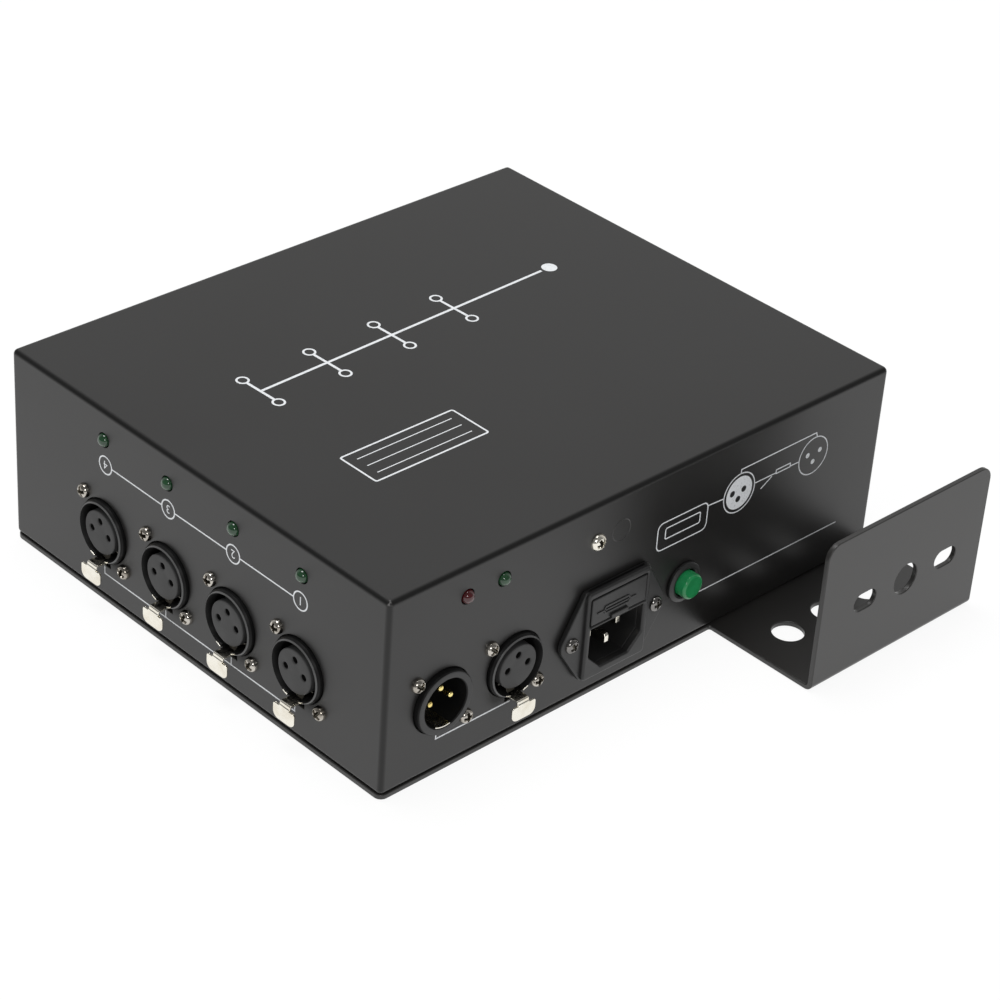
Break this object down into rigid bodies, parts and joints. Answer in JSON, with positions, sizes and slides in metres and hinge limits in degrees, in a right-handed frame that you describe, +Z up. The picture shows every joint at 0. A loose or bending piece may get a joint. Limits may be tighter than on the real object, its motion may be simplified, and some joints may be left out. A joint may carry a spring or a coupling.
{
  "type": "dmx splitter",
  "caption": "Stage lighting signal splitter: a folded steel case with latched round sockets along both long sides, a mains inlet at one end and a bent-up hanging bracket.",
  "frame": {"origin": "the middle of the case's footprint, on the base plate's underside", "axes": "+X towards the end panel with the inlet and the bracket, +Y towards outputs 5 to 8, +Z up"},
  "size_m": [0.246, 0.2504, 0.078],
  "materials": {
    "powder_coat": "fine textured powder coat, satin",
    "socket_plastic": "moulded, satin",
    "inlet_plastic": "moulded, satin",
    "nickel": "nickel plated",
    "gold_pin": "gold plated",
    "zinc": "zinc plated",
    "green_lens": "tinted, glossy",
    "red_lens": "tinted, glossy",
    "green_button": "moulded",
    "circuit_board": "solder resist on laminate",
    "transformer_core": "dark lacquer",
    "capacitor_sleeve": "shrink sleeve",
    "fuse_glass": "clear glass tube with plated caps",
    "brown_wire": "insulated wire",
    "blue_wire": "insulated wire",
    "earth_wire": "green and yellow insulated wire",
    "red_wire": "insulated wire"
  },
  "bodies": {
    "case": {"base_plate": "powder_coat", "cover_shell": "powder_coat", "output_socket_1": "socket_plastic", "output_socket_2": "socket_plastic", "output_socket_3": "socket_plastic", "output_socket_4": "socket_plastic", "output_socket_5": "socket_plastic", "output_socket_6": "socket_plastic", "output_socket_7": "socket_plastic", "output_socket_8": "socket_plastic", "through_socket": "socket_plastic", "input_socket": "socket_plastic", "terminator_switch": "socket_plastic", "mains_inlet": "inlet_plastic", "earth_screw": "nickel", "inlet_live_blade": "nickel", "inlet_neutral_blade": "nickel", "inlet_earth_blade": "nickel", "input_pin_1": "gold_pin", "input_pin_2": "gold_pin", "input_pin_3": "gold_pin", "cover_screw_1": "zinc", "cover_screw_2": "zinc", "cover_screw_3": "zinc", "cover_screw_4": "zinc", "inlet_screw_1": "zinc", "inlet_screw_2": "zinc", "output_lamp_1": "green_lens", "output_lamp_2": "green_lens", "output_lamp_3": "green_lens", "output_lamp_4": "green_lens", "output_lamp_5": "green_lens", "output_lamp_6": "green_lens", "output_lamp_7": "green_lens", "output_lamp_8": "green_lens", "signal_lamp": "green_lens", "power_lamp": "red_lens", "front_socket_board": "circuit_board", "rear_socket_board": "circuit_board", "end_socket_board": "circuit_board", "main_board": "circuit_board", "supply_board": "circuit_board", "supply_transformer": "transformer_core", "supply_capacitor": "capacitor_sleeve", "live_wire": "brown_wire", "neutral_wire": "blue_wire", "earth_wire": "earth_wire", "supply_lead": "red_wire"},
    "output_latch_1": {"output_latch_1": "nickel"},
    "output_latch_2": {"output_latch_2": "nickel"},
    "output_latch_3": {"output_latch_3": "nickel"},
    "output_latch_4": {"output_latch_4": "nickel"},
    "output_latch_5": {"output_latch_5": "nickel"},
    "output_latch_6": {"output_latch_6": "nickel"},
    "output_latch_7": {"output_latch_7": "nickel"},
    "output_latch_8": {"output_latch_8": "nickel"},
    "through_latch": {"through_latch": "nickel"},
    "terminator_button": {"terminator_button": "green_button"},
    "fuse_drawer": {"fuse_drawer": "inlet_plastic", "fuse": "fuse_glass"}
  },
  "joints": [
    {"name": "output_latch_1_press", "type": "hinge", "parent": "case", "child": "output_latch_1", "pos_m": [0.05742, -0.113, 0.0177], "axis": [1, 0, 0], "range_deg": [0, 10], "stiffness_Nm_per_rad": 0.3},
    {"name": "output_latch_2_press", "type": "hinge", "parent": "case", "child": "output_latch_2", "pos_m": [0.02278, -0.113, 0.0177], "axis": [1, 0, 0], "range_deg": [0, 10], "stiffness_Nm_per_rad": 0.3},
    {"name": "output_latch_3_press", "type": "hinge", "parent": "case", "child": "output_latch_3", "pos_m": [-0.01188, -0.113, 0.0177], "axis": [1, 0, 0], "range_deg": [0, 10], "stiffness_Nm_per_rad": 0.3},
    {"name": "output_latch_4_press", "type": "hinge", "parent": "case", "child": "output_latch_4", "pos_m": [-0.04652, -0.113, 0.0177], "axis": [1, 0, 0], "range_deg": [0, 10], "stiffness_Nm_per_rad": 0.3},
    {"name": "output_latch_5_press", "type": "hinge", "parent": "case", "child": "output_latch_5", "pos_m": [-0.04652, 0.113, 0.0177], "axis": [-1, 0, 0], "range_deg": [0, 10], "stiffness_Nm_per_rad": 0.3},
    {"name": "output_latch_6_press", "type": "hinge", "parent": "case", "child": "output_latch_6", "pos_m": [-0.01188, 0.113, 0.0177], "axis": [-1, 0, 0], "range_deg": [0, 10], "stiffness_Nm_per_rad": 0.3},
    {"name": "output_latch_7_press", "type": "hinge", "parent": "case", "child": "output_latch_7", "pos_m": [0.02278, 0.113, 0.0177], "axis": [-1, 0, 0], "range_deg": [0, 10], "stiffness_Nm_per_rad": 0.3},
    {"name": "output_latch_8_press", "type": "hinge", "parent": "case", "child": "output_latch_8", "pos_m": [0.05742, 0.113, 0.0177], "axis": [-1, 0, 0], "range_deg": [0, 10], "stiffness_Nm_per_rad": 0.3},
    {"name": "through_latch_press", "type": "hinge", "parent": "case", "child": "through_latch", "pos_m": [0.093, -0.0616, 0.0177], "axis": [0, 1, 0], "range_deg": [0, 10], "stiffness_Nm_per_rad": 0.3},
    {"name": "terminator_button_press", "type": "slide", "parent": "case", "child": "terminator_button", "axis": [-1, 0, 0], "range_m": [0, 0.003], "stiffness_N_per_m": 1000},
    {"name": "fuse_drawer_slide", "type": "slide", "parent": "case", "child": "fuse_drawer", "axis": [1, 0, 0], "range_m": [0, 0.014]}
  ]
}
